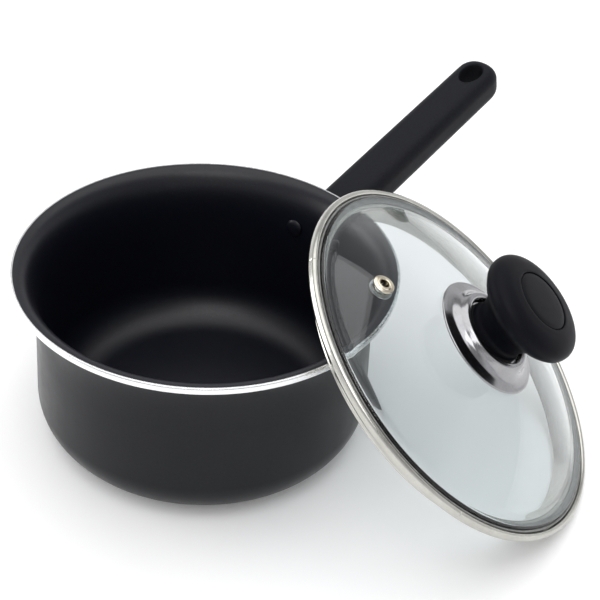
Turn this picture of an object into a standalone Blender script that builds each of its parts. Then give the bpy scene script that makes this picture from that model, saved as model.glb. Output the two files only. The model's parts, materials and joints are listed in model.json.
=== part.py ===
"""Saucepan with a riveted handle, and its glass lid leaning on the rim.

Units are metres and +Z is up. The origin is the centre of the pan's base, on the surface
that the pan stands on. +X runs out along the handle. The lid stands on its own edge beside
the pan and leans on the lip; its pivot is the stand-in hinge that swings it over the mouth.
"""
import bmesh
import bpy
from cmath import exp
from math import asin, cos, pi, radians, sin, sqrt
from mathutils import Matrix, Vector

# Clearance that is kept between pieces that touch.
GAP = 0.0003
TURN_STEPS = 64
KNOB_STEPS = 40
SMALL_STEPS = 16
MERGE_DISTANCE = 0.000001

# Pan body.
PAN_HEIGHT = 0.0880
LIP_RADIUS = 0.0880
EDGE_RADIUS = 0.0885
EDGE_HEIGHT = 0.0029
NECK_RADIUS = 0.0784
FOOT_RADIUS = 0.0794
WALL_THICKNESS = 0.0019
FLOOR_THICKNESS = 0.0026
CORNER_RADIUS = 0.0220
# The flare turns from the upright wall to a flat lip. The higher the power, the sharper the turn.
OUTER_FLARE_DEPTH = 0.0295
INNER_FLARE_DEPTH = 0.0300
FLARE_POWER = 2.6

# Bracket, rivets and handle. The handle's own frame has X along it, and rises from the wall.
HANDLE_RISE = radians(15.2)
HANDLE_START_RADIUS = 0.0810
HANDLE_START_HEIGHT = 0.0671
HANDLE_LENGTH = 0.1456
HANDLE_THICKNESS = 0.0198
HANDLE_HALF_WIDTH_ROOT = 0.01205
HANDLE_HALF_WIDTH_TIP = 0.0116
HANDLE_END_POWER = 2.3
HANDLE_TOP_ROUND = 0.0060
HANDLE_BOTTOM_ROUND = 0.0080
HANDLE_WALL_CLEARANCE = 0.0041
HANGING_HOLE_X = 0.1315
HANGING_HOLE_HALF = (0.0078, 0.0054)
BRACKET_THICKNESS = 0.0018
PAD_SIZE = (0.0330, 0.0140)
TONGUE_SIZE = (0.0300, 0.0150, 0.0060)
RIVET_HEIGHT = 0.0668
RIVET_AZIMUTH = radians(8.0)
RIVET_TILT = radians(4.2)
RIVET_SHANK_RADIUS = 0.0024
# Each rivet head as (radius, height of its dome).
RIVET_OUTER_HEAD = (0.0036, 0.0014)
RIVET_INNER_HEAD = (0.0044, 0.0013)
# The handle's screw. Heights are above the handle's middle plane.
HANDLE_SCREW_X = 0.0180
HANDLE_SCREW_RADIUS = 0.0020
HANDLE_SCREW_HEAD_RADIUS = 0.0041
HANDLE_SCREW_HEAD_TOP = -0.0075
HANDLE_SCREW_TOP = 0.0072
WASHER_RADIUS = 0.0046
WASHER_THICKNESS = 0.0006
COUNTERBORE_RADIUS = 0.0049
INSERT_RADIUS = 0.0030
INSERT_SPAN = (0.0036, 0.0076)

# Lid. Its own frame has Z along the lid's axis, and Z = 0 through the middle of its rolled edge.
LID_RADIUS = 0.0901
LID_TILT = radians(40.66)
LID_AZIMUTH = radians(-61.85)
LID_DISTANCE = 0.1185
LID_EDGE_CLEARANCE = 0.0001
LID_LIFT_OVER_SEAT = 0.0200
BEAD_WIDTH = 0.0030
BEAD_TOP = 0.0020
# Heights where the bead's side starts to round over its top, and under its foot.
BEAD_SIDE = (0.0003, -0.0009)
SEAL_TOP = 0.0014
WEB_TOP = -0.0018
WEB_BOTTOM = -0.0026
SKIRT_TOP_RADIUS = 0.0812
SKIRT_RADIUS = 0.0792
SKIRT_DEPTH = 0.0110
SKIRT_THICKNESS = 0.0008
GLASS_RADIUS = 0.0857
GLASS_FLAT_RADIUS = 0.0800
GLASS_THICKNESS = 0.0036
GLASS_CROWN = 0.0204
GLASS_EDGE_TOP = 0.0028
GLASS_HOLE_RADIUS = 0.0042
VENT_DISTANCE = 0.0578
VENT_AZIMUTH = radians(-164.0)
VENT_HOLE_RADIUS = 0.0033
VENT_BORE_RADIUS = 0.0022
# The eyelet's flange as (r, height above the glass), from its bore outwards.
EYELET_FLANGE = ((0.0022, 0.0007), (0.0025, 0.0013), (0.0031, 0.0016), (0.0038, 0.0012), (0.0050, 0.0009))

# Knob, on the lid's axis. Heights are above the lid's Z = 0.
DISH_RADIUS = 0.0287
DISH_FLOOR = 0.0224
DISH_THICKNESS = 0.0008
# The dish beyond its floor, as (r, height): its upper face outwards, then its lower one inwards.
DISH_UPPER = ((0.0168, 0.0254), (0.0175, 0.0262), (0.0186, 0.0263), (0.0202, 0.0254),
              (0.0216, 0.0228), (0.0238, 0.0210), (0.0266, 0.0202), (0.0283, 0.0199))
DISH_LOWER = ((0.0284, 0.0190), (0.0264, 0.0193), (0.0233, 0.0201), (0.0209, 0.0222),
              (0.0196, 0.0248), (0.0185, 0.0255), (0.0177, 0.0250), (0.0173, 0.0226))
KNOB_HEAD_RADIUS = 0.0266
KNOB_NECK_RADIUS = 0.0140
KNOB_FOOT_RADIUS = 0.0153
# The knob as (r, height), from the edge of its cap down to its foot.
KNOB_SIDE = ((0.0165, 0.0528), (0.0205, 0.0521), (0.0240, 0.0507), (0.0260, 0.0487),
             (KNOB_HEAD_RADIUS, 0.0462), (0.0260, 0.0434), (0.0232, 0.0404), (0.0190, 0.0374),
             (0.0156, 0.0332), (KNOB_NECK_RADIUS, 0.0286), (0.0146, 0.0256),
             (KNOB_FOOT_RADIUS, 0.0245), (KNOB_FOOT_RADIUS, 0.0232))
KNOB_BORE_RADIUS = 0.0045
KNOB_BORE_TOP = 0.0362
CAP_RADIUS = 0.0142
CAP_TOP = 0.0534
CAP_THICKNESS = 0.0019
CAP_RECESS_DEPTH = 0.0022
KNOB_SCREW_RADIUS = 0.0020
KNOB_SCREW_HEAD_RADIUS = 0.0042
KNOB_SCREW_TOP = 0.0340
# Gasket, seal, washer and insert under and inside the knob, as (inner radius, outer radius).
GASKET_RADII = (0.0046, 0.0130)
KNOB_SEAL_RADII = (0.0030, 0.0080)
KNOB_WASHER_RADII = (0.0026, 0.0074)
KNOB_INSERT_RADIUS = 0.0042
KNOB_SEAL_THICKNESS = 0.0008
KNOB_WASHER_THICKNESS = 0.0010

PART_NAME = "saucepan_with_glass_lid"


def clear_scene():
    for obj in list(bpy.data.objects):
        bpy.data.objects.remove(obj, do_unlink=True)
    for group in list(bpy.data.collections):
        bpy.data.collections.remove(group)


def new_collection(name):
    group = bpy.data.collections.new(name)
    bpy.context.scene.collection.children.link(group)
    return group


def new_material(name, colour, roughness, metallic=0.0, transmission=0.0):
    material = bpy.data.materials.new(name)
    material.use_nodes = True
    shader = material.node_tree.nodes["Principled BSDF"]
    shader.inputs["Base Color"].default_value = (*colour, 1.0)
    shader.inputs["Roughness"].default_value = roughness
    shader.inputs["Metallic"].default_value = metallic
    shader.inputs["Transmission Weight"].default_value = transmission
    material.diffuse_color = (*colour, 1.0)
    return material


def place(obj, group, material=None, parent=None):
    """Link an object to its collection, and give it its material and parent."""
    group.objects.link(obj)
    if material is not None:
        obj.data.materials.append(material)
    if parent is not None:
        obj.parent = parent
    return obj


def new_empty(name, location, rotation=(0.0, 0.0, 0.0), parent=None):
    empty = bpy.data.objects.new(name, None)
    empty.location = location
    empty.rotation_euler = rotation
    empty.empty_display_size = 0.01
    bpy.context.scene.collection.objects.link(empty)
    empty.parent = parent
    return empty


def mark_as_cutter(obj):
    obj.hide_render = True
    obj.display_type = "WIRE"
    return obj


def arc(centre, radii, start, end, count):
    """Points (r, z) on an ellipse about centre, from the start angle to the end angle."""
    points = []
    for i in range(count):
        angle = radians(start + (end - start) * i / (count - 1))
        points.append((centre[0] + radii[0] * cos(angle), centre[1] + radii[1] * sin(angle)))
    return points


def turned(name, profile, closed=True, steps=TURN_STEPS):
    """Turn an (r, z) profile about Z. It runs down the outer side of the piece.

    A closed profile makes a ring. An open one starts and ends on the axis.
    """
    mesh = bpy.data.meshes.new(name)
    edges = [(i, i + 1) for i in range(len(profile) - 1)]
    if closed:
        edges.append((len(profile) - 1, 0))
    mesh.from_pydata([(r, 0.0, z) for r, z in profile], edges, [])
    obj = bpy.data.objects.new(name, mesh)
    screw = obj.modifiers.new("turn", "SCREW")
    screw.axis = "Z"
    screw.steps = steps
    screw.render_steps = steps
    screw.use_merge_vertices = True
    screw.merge_threshold = MERGE_DISTANCE
    screw.use_smooth_shade = True
    return obj


def disc_ring(name, inner, outer, bottom, top, steps=SMALL_STEPS):
    """A flat washer."""
    return turned(name, [(inner, top), (outer, top), (outer, bottom), (inner, bottom)], steps=steps)


def cylinder(name, radius, bottom, top, segments=SMALL_STEPS):
    mesh = bpy.data.meshes.new(name)
    shape = bmesh.new()
    middle = Matrix.Translation((0.0, 0.0, (bottom + top) / 2.0))
    bmesh.ops.create_cone(shape, cap_ends=True, segments=segments, radius1=radius, radius2=radius,
                          depth=top - bottom, matrix=middle)
    shape.to_mesh(mesh)
    shape.free()
    return bpy.data.objects.new(name, mesh)


def box(name, low, high, round_edges=0.0, axis=None):
    """A box between two corners, with the edges along one axis rounded if asked."""
    mesh = bpy.data.meshes.new(name)
    shape = bmesh.new()
    size = [high[i] - low[i] for i in range(3)]
    middle = [(high[i] + low[i]) / 2.0 for i in range(3)]
    matrix = Matrix.Translation(middle) @ Matrix.Diagonal((*size, 1.0))
    bmesh.ops.create_cube(shape, size=1.0, matrix=matrix)
    if round_edges:
        along = [e for e in shape.edges
                 if abs((e.verts[0].co - e.verts[1].co).normalized()[axis]) > 0.9]
        bmesh.ops.bevel(shape, geom=along, offset=round_edges, segments=3, profile=0.5,
                        affect="EDGES")
    shape.to_mesh(mesh)
    shape.free()
    return bpy.data.objects.new(name, mesh)


def combine(target, other, operation="DIFFERENCE"):
    modifier = target.modifiers.new(other.name, "BOOLEAN")
    modifier.operation = operation
    modifier.object = other


def outer_wall_radius(z):
    """The pan's outer radius at a height between its bottom corner and its edge band."""
    flare_foot = PAN_HEIGHT - EDGE_HEIGHT - OUTER_FLARE_DEPTH
    if z <= flare_foot:
        share = (z - CORNER_RADIUS) / (flare_foot - CORNER_RADIUS)
        return FOOT_RADIUS + (NECK_RADIUS - FOOT_RADIUS) * share
    rise = (z - flare_foot) / OUTER_FLARE_DEPTH
    inward = max(0.0, 1.0 - rise ** FLARE_POWER) ** (1.0 / FLARE_POWER)
    return EDGE_RADIUS - (EDGE_RADIUS - NECK_RADIUS) * inward


def flare(neck, lip, top, depth, count):
    """Points (r, z) up a flare, from the upright wall at its neck to its flat lip."""
    points = []
    for i in range(count):
        angle = pi / 2.0 * i / (count - 1)
        inward = max(0.0, cos(angle)) ** (2.0 / FLARE_POWER)
        upward = sin(angle) ** (2.0 / FLARE_POWER)
        points.append((lip - (lip - neck) * inward, top - depth * (1.0 - upward)))
    return points


def outside_wall(offset, heights):
    """Points (r, z) at a clearance outside the pan's wall, from top to bottom."""
    return [(outer_wall_radius(z) + offset, z) for z in heights]


def pan_profile():
    inner_neck = NECK_RADIUS - WALL_THICKNESS
    inner_foot = FOOT_RADIUS - WALL_THICKNESS
    inner_corner = CORNER_RADIUS - WALL_THICKNESS
    inside = [(0.0, FLOOR_THICKNESS)]
    inside += arc((inner_foot - inner_corner, FLOOR_THICKNESS + inner_corner),
                  (inner_corner, inner_corner), -90, 0, 6)
    inside += flare(inner_neck, LIP_RADIUS, PAN_HEIGHT, INNER_FLARE_DEPTH, 9)
    under_edge = flare(NECK_RADIUS, EDGE_RADIUS, PAN_HEIGHT - EDGE_HEIGHT, OUTER_FLARE_DEPTH, 8)
    outside = list(reversed(under_edge))
    outside += arc((FOOT_RADIUS - CORNER_RADIUS, CORNER_RADIUS),
                   (CORNER_RADIUS, CORNER_RADIUS), 0, -90, 6)
    outside.append((0.0, 0.0))
    return inside + outside


def rivet_frame(side):
    """Where a rivet crosses the wall: its Z axis points out of the wall."""
    azimuth = side * RIVET_AZIMUTH
    radius = outer_wall_radius(RIVET_HEIGHT)
    location = Vector((radius * cos(azimuth), radius * sin(azimuth), RIVET_HEIGHT))
    turn = Matrix.Rotation(azimuth, 4, "Z") @ Matrix.Rotation(pi / 2.0 + RIVET_TILT, 4, "Y")
    return Matrix.Translation(location) @ turn


def rivet_hole(name, side, cutters):
    hole = cylinder(name, RIVET_SHANK_RADIUS + GAP, -0.006, 0.006, segments=16)
    hole.matrix_world = rivet_frame(side)
    return mark_as_cutter(place(hole, cutters))


def make_pan_body(parts, cutters, rivet_holes):
    body = turned("pan_body", pan_profile(), closed=False)
    place(body, parts, new_material("pan_enamel", (0.018, 0.019, 0.022), 0.32))
    for hole in rivet_holes:
        combine(body, hole)


def make_rivets(parts):
    coated = new_material("rivet_coated", (0.012, 0.012, 0.013), 0.45)
    outer_seat = GAP + BRACKET_THICKNESS + GAP
    inner_seat = -WALL_THICKNESS - 2.0 * GAP
    for name, side in (("rivet_left", 1), ("rivet_right", -1)):
        profile = arc((0.0, outer_seat), RIVET_OUTER_HEAD, 90, 0, 5)
        profile += [(RIVET_SHANK_RADIUS, outer_seat), (RIVET_SHANK_RADIUS, inner_seat)]
        profile += arc((0.0, inner_seat), RIVET_INNER_HEAD, 0, -90, 5)
        rivet = turned(name, profile, closed=False, steps=SMALL_STEPS)
        rivet.matrix_world = rivet_frame(side)
        place(rivet, parts, coated)


def wall_cutter(name, offset, cutters):
    """Everything inside the pan's wall, grown by an offset."""
    heights = [0.084 - 0.004 * i for i in range(14)]
    profile = [(0.0, heights[0])] + outside_wall(offset, heights) + [(0.0, heights[-1])]
    return mark_as_cutter(place(turned(name, profile, closed=False), cutters))


def make_bracket(parts, cutters, frame, rivet_holes, screw_hole):
    heights = [RIVET_HEIGHT + 0.010 - 0.0025 * i for i in range(9)]
    ring = outside_wall(GAP + BRACKET_THICKNESS, heights)
    ring += reversed(outside_wall(GAP, heights))
    pad_ring = mark_as_cutter(place(turned("pad_ring", ring), cutters))

    tongue = box("tongue", (-0.004, -TONGUE_SIZE[1] / 2.0, -TONGUE_SIZE[2] / 2.0),
                 (TONGUE_SIZE[0], TONGUE_SIZE[1] / 2.0, TONGUE_SIZE[2] / 2.0), 0.0025, 2)
    mark_as_cutter(place(tongue, cutters, parent=frame))
    combine(tongue, wall_cutter("tongue_start", GAP, cutters))

    half_width, half_height = PAD_SIZE[0] / 2.0, PAD_SIZE[1] / 2.0
    bracket = box("handle_bracket", (0.060, -half_width, RIVET_HEIGHT - half_height),
                  (0.100, half_width, RIVET_HEIGHT + half_height), 0.004, 0)
    place(bracket, parts, new_material("bracket_steel", (0.56, 0.57, 0.58), 0.35, 1.0))
    combine(bracket, pad_ring, "INTERSECT")
    combine(bracket, tongue, "UNION")
    for hole in [*rivet_holes, screw_hole]:
        combine(bracket, hole)


def handle_outline():
    """Half of the handle's plan, from its root to the middle of its round end."""
    end = HANDLE_LENGTH - HANDLE_HALF_WIDTH_TIP
    points = [(-0.012, HANDLE_HALF_WIDTH_ROOT)]
    for i in range(9):
        angle = pi / 2.0 * (1.0 - i / 8.0)
        x = end + HANDLE_HALF_WIDTH_TIP * cos(angle) ** (2.0 / HANDLE_END_POWER)
        y = HANDLE_HALF_WIDTH_TIP * sin(angle) ** (2.0 / HANDLE_END_POWER)
        points.append((x, y))
    return points


def make_handle(parts, cutters, frame, screw_hole):
    half = handle_outline()
    outline = half + [(x, -y) for x, y in reversed(half[:-1])]
    half_thickness = HANDLE_THICKNESS / 2.0
    shape = bmesh.new()
    corners = [shape.verts.new((x, y, -half_thickness)) for x, y in outline]
    bottom = shape.faces.new(corners)
    grown = bmesh.ops.extrude_face_region(shape, geom=[bottom])
    raised = [item for item in grown["geom"] if isinstance(item, bmesh.types.BMVert)]
    bmesh.ops.translate(shape, verts=raised, vec=(0.0, 0.0, HANDLE_THICKNESS))
    bmesh.ops.recalc_face_normals(shape, faces=shape.faces)
    for level, radius in ((half_thickness, HANDLE_TOP_ROUND), (-half_thickness, HANDLE_BOTTOM_ROUND)):
        rim = [e for e in shape.edges if all(abs(v.co.z - level) < MERGE_DISTANCE for v in e.verts)]
        bmesh.ops.bevel(shape, geom=rim, offset=radius, segments=4, profile=0.5, affect="EDGES")
    mesh = bpy.data.meshes.new("handle")
    shape.to_mesh(mesh)
    shape.free()
    mesh.shade_smooth()
    mesh.set_sharp_from_angle(angle=radians(35.0))
    handle = bpy.data.objects.new("handle", mesh)
    place(handle, parts, new_material("handle_black", (0.030, 0.031, 0.035), 0.5), frame)

    socket = box("socket", (-0.030, -TONGUE_SIZE[1] / 2.0 - GAP, -TONGUE_SIZE[2] / 2.0 - GAP),
                 (TONGUE_SIZE[0] + GAP, TONGUE_SIZE[1] / 2.0 + GAP, TONGUE_SIZE[2] / 2.0 + GAP))
    insert_bore = cylinder("insert_bore", INSERT_RADIUS + GAP, 0.0, INSERT_SPAN[1] + GAP)
    counterbore_top = HANDLE_SCREW_HEAD_TOP + WASHER_THICKNESS + 2.0 * GAP
    counterbore = cylinder("counterbore", COUNTERBORE_RADIUS, -HANDLE_THICKNESS, counterbore_top)
    for cutter in (insert_bore, counterbore):
        cutter.location = (HANDLE_SCREW_X, 0.0, 0.0)
    hanging = cylinder("hanging_hole", 1.0, -0.02, 0.02, segments=24)
    hanging.data.transform(Matrix.Diagonal((*HANGING_HOLE_HALF, 1.0, 1.0)))
    hanging.location = (HANGING_HOLE_X, 0.0, 0.0)
    combine(handle, wall_cutter("handle_start", HANDLE_WALL_CLEARANCE, cutters))
    for cutter in (socket, insert_bore, counterbore, hanging):
        mark_as_cutter(place(cutter, cutters, parent=frame))
        combine(handle, cutter)
    combine(handle, screw_hole)


def make_handle_fasteners(parts, frame):
    steel = new_material("screw_steel", (0.62, 0.62, 0.63), 0.28, 1.0)
    brass = new_material("brass", (0.78, 0.60, 0.30), 0.35, 1.0)
    shank = HANDLE_SCREW_RADIUS
    head = HANDLE_SCREW_HEAD_RADIUS
    head_top = HANDLE_SCREW_HEAD_TOP
    washer_bottom = head_top + GAP
    screw = turned("handle_screw", [(0.0, HANDLE_SCREW_TOP), (shank, HANDLE_SCREW_TOP - 0.0002),
                                    (shank, head_top), (head, head_top), (head, head_top - 0.0009),
                                    (head - 0.0009, head_top - 0.0017), (0.0, head_top - 0.0020)],
                   closed=False, steps=SMALL_STEPS)
    washer = disc_ring("handle_washer", shank + 0.0004, WASHER_RADIUS, washer_bottom,
                       washer_bottom + WASHER_THICKNESS)
    insert = disc_ring("handle_insert", shank + GAP, INSERT_RADIUS, *INSERT_SPAN)
    for piece, material in ((screw, steel), (washer, steel), (insert, brass)):
        piece.location = (HANDLE_SCREW_X, 0.0, 0.0)
        place(piece, parts, material, frame)


def rim_section():
    """Section of the lid's steel band: rolled bead, flat web and the skirt below it."""
    bead_middle = LID_RADIUS - BEAD_WIDTH / 2.0
    bead_base = (LID_RADIUS - BEAD_WIDTH, WEB_TOP)
    shoulder, foot = BEAD_SIDE
    section = arc((bead_middle, shoulder), (BEAD_WIDTH / 2.0, BEAD_TOP - shoulder), 180, 0, 6)
    section += arc((bead_middle, foot), (BEAD_WIDTH / 2.0, foot - WEB_BOTTOM), 0, -90, 4)
    section += [(SKIRT_TOP_RADIUS + 0.0012, WEB_BOTTOM), (SKIRT_TOP_RADIUS, WEB_BOTTOM - 0.0008)]
    section += [(SKIRT_RADIUS + 0.0002, -SKIRT_DEPTH + 0.0008), (SKIRT_RADIUS - 0.0002, -SKIRT_DEPTH)]
    section += [(SKIRT_RADIUS - SKIRT_THICKNESS, -SKIRT_DEPTH + 0.0006)]
    section += [(SKIRT_TOP_RADIUS - SKIRT_THICKNESS, WEB_BOTTOM - 0.0002)]
    section += [(SKIRT_TOP_RADIUS + 0.0004, WEB_TOP), bead_base]
    return section


def rim_lowest_below_centre():
    """How far the leaning band reaches below the lid's centre."""
    return max(r * sin(LID_TILT) - z * cos(LID_TILT) for r, z in rim_section())


def lid_centre():
    """The leaning lid's centre as (distance out from the pan's axis, height)."""
    return complex(LID_DISTANCE, rim_lowest_below_centre() + LID_EDGE_CLEARANCE)


def lid_pivot():
    """The one point, in the plane of the lean, about which the lid turns level over the pan."""
    leaning = lid_centre()
    level = complex(0.0, PAN_HEIGHT - WEB_BOTTOM + LID_LIFT_OVER_SEAT)
    turn = exp(1j * LID_TILT)
    return (level - leaning * turn) / (1.0 - turn)


def make_lid_frame():
    pivot = lid_pivot()
    offset = lid_centre() - pivot
    hinge = new_empty("lid_pivot", (pivot.real * cos(LID_AZIMUTH), pivot.real * sin(LID_AZIMUTH),
                                    pivot.imag), (0.0, 0.0, LID_AZIMUTH))
    return new_empty("lid_frame", (offset.real, 0.0, offset.imag), (0.0, LID_TILT, 0.0), hinge)


def dome_radius():
    rise = GLASS_CROWN - GLASS_EDGE_TOP
    return (GLASS_FLAT_RADIUS ** 2 + rise ** 2) / (2.0 * rise)


def glass_top(r):
    """Height of the glass's upper face at a distance from the lid's axis."""
    sphere = dome_radius()
    return GLASS_CROWN - sphere + sqrt(sphere ** 2 - min(r, GLASS_FLAT_RADIUS) ** 2)


def make_glass(parts, cutters, frame, vent_hole):
    radii = [GLASS_HOLE_RADIUS + (GLASS_FLAT_RADIUS - GLASS_HOLE_RADIUS) * i / 6.0 for i in range(7)]
    edge_bottom = GLASS_EDGE_TOP - GLASS_THICKNESS + 0.0002
    edge_height = (GLASS_EDGE_TOP - edge_bottom) / 2.0
    profile = [(r, glass_top(r)) for r in radii]
    profile += arc((GLASS_RADIUS - edge_height, edge_bottom + edge_height),
                   (edge_height, edge_height), 90, -90, 5)
    profile += [(r, glass_top(r) - GLASS_THICKNESS) for r in reversed(radii)]
    glass = turned("lid_glass", profile)
    place(glass, parts, new_material("lid_glass", (0.80, 0.86, 0.87), 0.02, 0.0, 1.0), frame)
    combine(glass, vent_hole)


def make_rim(parts, frame):
    band = turned("lid_rim", rim_section())
    place(band, parts, new_material("rim_steel", (0.66, 0.65, 0.63), 0.16, 1.0), frame)


def make_seal(parts, frame):
    outside = LID_RADIUS - BEAD_WIDTH - GAP
    inside = GLASS_RADIUS + GAP
    floor = WEB_TOP + GAP
    under_glass = SKIRT_TOP_RADIUS + 0.0010
    flap_top = floor + 0.0005
    profile = [(inside, SEAL_TOP), (outside, SEAL_TOP), (outside, floor), (under_glass, floor),
               (under_glass, flap_top), (inside, flap_top)]
    seal = turned("lid_seal", profile)
    place(seal, parts, new_material("seal_dark", (0.03, 0.03, 0.03), 0.6), frame)


def make_vent(parts, cutters, lid_frame, steel):
    tilt = asin(VENT_DISTANCE / dome_radius())
    location = (VENT_DISTANCE * cos(VENT_AZIMUTH), VENT_DISTANCE * sin(VENT_AZIMUTH),
                glass_top(VENT_DISTANCE))
    frame = new_empty("vent_frame", location, (0.0, tilt, VENT_AZIMUTH), lid_frame)
    below = -GLASS_THICKNESS - GAP
    barrel = VENT_HOLE_RADIUS - GAP
    profile = list(EYELET_FLANGE) + [(EYELET_FLANGE[-1][0], GAP), (barrel, GAP)]
    profile += [(barrel, below - 0.0009), (0.0042, below - 0.0011), (0.0040, below - 0.0017)]
    profile.append((VENT_BORE_RADIUS, below - 0.0012))
    place(turned("vent_eyelet", profile, steps=SMALL_STEPS), parts, steel, frame)
    washer = disc_ring("vent_washer", VENT_HOLE_RADIUS, 0.0055, below - 0.0006, below)
    place(washer, parts, steel, frame)
    hole = cylinder("vent_hole", VENT_HOLE_RADIUS, -0.008, 0.004)
    return mark_as_cutter(place(hole, cutters, parent=frame))


def make_knob_base(parts, frame, steel):
    """Bright dish that carries the knob: a flange on the glass, a ridge, and a recess inside it."""
    underside = DISH_FLOOR - DISH_THICKNESS
    profile = [(KNOB_BORE_RADIUS, DISH_FLOOR), (0.0158, DISH_FLOOR), (0.0165, DISH_FLOOR + 0.0007)]
    profile += [*DISH_UPPER, (DISH_RADIUS, 0.0195), *DISH_LOWER]
    profile += [(0.0162, underside), (KNOB_BORE_RADIUS, underside)]
    place(turned("knob_base", profile, steps=KNOB_STEPS), parts, steel, frame)


def knob_profile():
    cap_seat = CAP_TOP - CAP_RECESS_DEPTH
    recess = CAP_RADIUS + 0.0004
    foot = DISH_FLOOR + GAP
    profile = [(0.0, cap_seat), (recess, cap_seat), (recess, CAP_TOP - 0.0005), *KNOB_SIDE]
    profile += [(KNOB_FOOT_RADIUS - 0.0004, foot), (KNOB_BORE_RADIUS, foot)]
    profile += [(KNOB_BORE_RADIUS, KNOB_BORE_TOP), (0.0, KNOB_BORE_TOP)]
    return profile


def make_knob(parts, frame):
    knob = turned("knob", knob_profile(), closed=False, steps=KNOB_STEPS)
    place(knob, parts, new_material("knob_black", (0.022, 0.022, 0.024), 0.55), frame)
    cap_bottom = CAP_TOP - CAP_THICKNESS
    cap = turned("knob_cap", [(0.0, CAP_TOP), (0.0080, CAP_TOP - 0.0001), (0.0132, CAP_TOP - 0.0005),
                              (CAP_RADIUS, CAP_TOP - 0.0010), (CAP_RADIUS, cap_bottom), (0.0, cap_bottom)],
                 closed=False, steps=KNOB_STEPS)
    place(cap, parts, new_material("cap_black", (0.020, 0.020, 0.021), 0.5), frame)


def make_knob_fasteners(parts, frame, steel):
    silicone = new_material("silicone", (0.35, 0.35, 0.34), 0.6)
    brass = new_material("knob_brass", (0.78, 0.60, 0.30), 0.35, 1.0)
    under_glass = GLASS_CROWN - GLASS_THICKNESS - 2.0 * GAP
    shank = KNOB_SCREW_RADIUS
    seal_bottom = under_glass - KNOB_SEAL_THICKNESS
    washer_top = seal_bottom - GAP
    washer_bottom = washer_top - KNOB_WASHER_THICKNESS
    head = KNOB_SCREW_HEAD_RADIUS
    head_top = washer_bottom - GAP
    gasket = disc_ring("knob_base_gasket", *GASKET_RADII, GLASS_CROWN + GAP,
                       DISH_FLOOR - DISH_THICKNESS - GAP)
    seal = disc_ring("knob_seal", *KNOB_SEAL_RADII, seal_bottom, under_glass)
    washer = disc_ring("knob_washer", *KNOB_WASHER_RADII, washer_bottom, washer_top)
    insert = disc_ring("knob_insert", shank + GAP, KNOB_INSERT_RADIUS, DISH_FLOOR + 0.0012,
                       KNOB_BORE_TOP - 0.0004)
    screw = turned("knob_screw", [(0.0, KNOB_SCREW_TOP), (shank, KNOB_SCREW_TOP - 0.0002),
                                  (shank, head_top), (head, head_top), (head, head_top - 0.0012),
                                  (head - 0.0012, head_top - 0.0024), (0.0, head_top - 0.0027)],
                   closed=False, steps=SMALL_STEPS)
    finish = ((gasket, silicone), (seal, silicone), (washer, steel), (insert, brass), (screw, steel))
    for piece, material in finish:
        place(piece, parts, material, frame)


def main():
    clear_scene()
    parts = new_collection(PART_NAME)
    cutters = new_collection("cutters")

    rivet_holes = [rivet_hole("rivet_hole_left", 1, cutters), rivet_hole("rivet_hole_right", -1, cutters)]
    make_pan_body(parts, cutters, rivet_holes)
    make_rivets(parts)

    handle_frame = new_empty("handle_frame", (HANDLE_START_RADIUS, 0.0, HANDLE_START_HEIGHT),
                             (0.0, -HANDLE_RISE, 0.0))
    screw_hole = cylinder("screw_hole", HANDLE_SCREW_RADIUS + 0.0005, -0.0080, 0.0040)
    screw_hole.location = (HANDLE_SCREW_X, 0.0, 0.0)
    mark_as_cutter(place(screw_hole, cutters, parent=handle_frame))
    make_bracket(parts, cutters, handle_frame, rivet_holes, screw_hole)
    make_handle(parts, cutters, handle_frame, screw_hole)
    make_handle_fasteners(parts, handle_frame)

    lid_frame = make_lid_frame()
    bright = new_material("bright_steel", (0.72, 0.71, 0.70), 0.10, 1.0)
    plain = new_material("plain_steel", (0.60, 0.60, 0.61), 0.30, 1.0)
    vent_hole = make_vent(parts, cutters, lid_frame, bright)
    make_glass(parts, cutters, lid_frame, vent_hole)
    make_rim(parts, lid_frame)
    make_seal(parts, lid_frame)
    make_knob_base(parts, lid_frame, bright)
    make_knob(parts, lid_frame)
    make_knob_fasteners(parts, lid_frame, plain)


main()
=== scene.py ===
"""Looks of the saucepan with its glass lid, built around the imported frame.

Every turned piece is made again here as a fine, filleted surface in the place of its CAD node.
The pan's pieces are in the row frame, and the lid's pieces are in the lid's own frame, whose
Z runs along the lid's axis with Z = 0 through the middle of its rolled edge.
"""
import json
from math import atan2, ceil, cos, pi, radians, sin, sqrt, tan

import bmesh
import bpy
from mathutils import Matrix, Vector


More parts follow.
